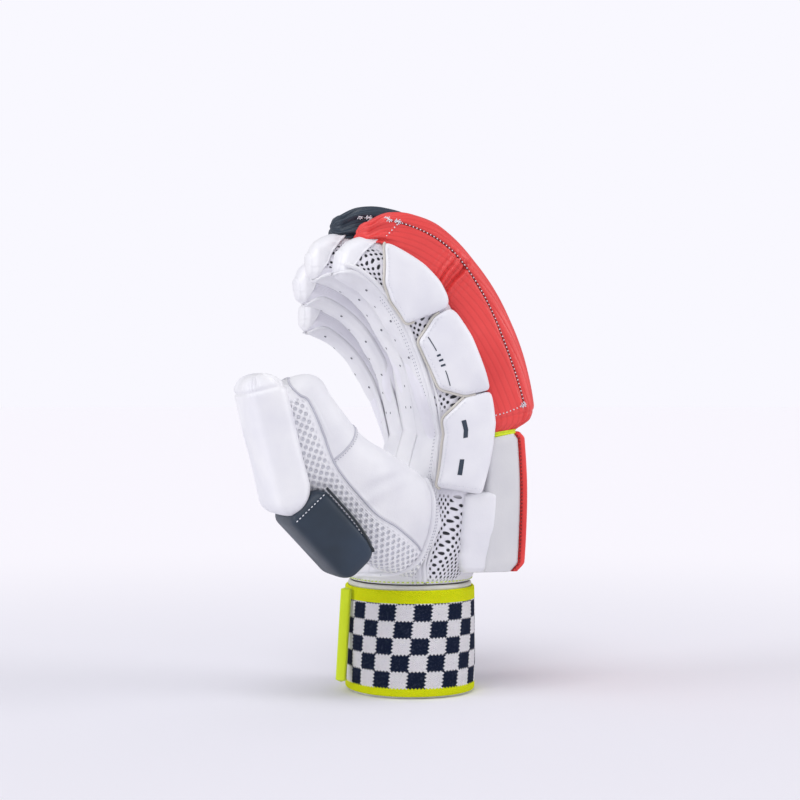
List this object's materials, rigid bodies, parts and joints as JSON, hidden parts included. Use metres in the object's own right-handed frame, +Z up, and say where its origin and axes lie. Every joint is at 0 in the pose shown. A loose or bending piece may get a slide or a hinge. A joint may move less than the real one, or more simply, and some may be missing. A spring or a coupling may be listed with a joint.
{
  "type": "cricket batting glove",
  "caption": "Cricket batting glove for the right hand, standing on its cuff: leather shell, padded finger rolls and back blocks, padded thumb and a checked wristband.",
  "frame": {"origin": "middle of the glove's bounding box, at the level of the cuff's lower rim", "axes": "+Z up from the cuff to the fingers, +X towards the back of the hand, -Y towards the thumb side"},
  "size_m": [0.1668, 0.1274, 0.2675],
  "materials": {
    "white_leather": "smooth satin",
    "white_mesh": "open knit",
    "red_leather": "ribbed satin",
    "navy_leather": "matte",
    "neon_trim": "woven tape",
    "check_weave": "coarse weave, white and navy checks"
  },
  "bodies": {
    "root": {"palm_leather": "white_leather", "backhand_shell": "white_leather", "finger_stall_index": "white_mesh", "finger_stall_middle": "white_mesh", "finger_stall_ring": "white_mesh", "finger_stall_little": "white_mesh", "thumb_leather": "white_leather", "thumb_mesh": "white_mesh", "thumb_tip_pad": "white_leather", "thumb_base_pad": "navy_leather", "finger_roll_index": "red_leather", "finger_roll_middle": "navy_leather", "finger_roll_ring": "red_leather", "finger_roll_little": "navy_leather", "knuckle_tape_index": "neon_trim", "knuckle_tape_middle": "neon_trim", "knuckle_tape_ring": "neon_trim", "knuckle_tape_little": "neon_trim", "back_block_index": "white_leather", "block_facing_index": "red_leather", "back_block_middle": "white_leather", "block_facing_middle": "red_leather", "back_block_ring": "white_leather", "block_facing_ring": "red_leather", "back_block_little": "white_leather", "block_facing_little": "red_leather", "side_bar_upper": "white_leather", "side_bar_middle": "white_leather", "side_bar_lower": "white_leather", "side_pad": "white_leather", "cuff_lining": "white_leather", "wristband": "check_weave", "wristband_tab": "neon_trim"}
  },
  "joints": []
}
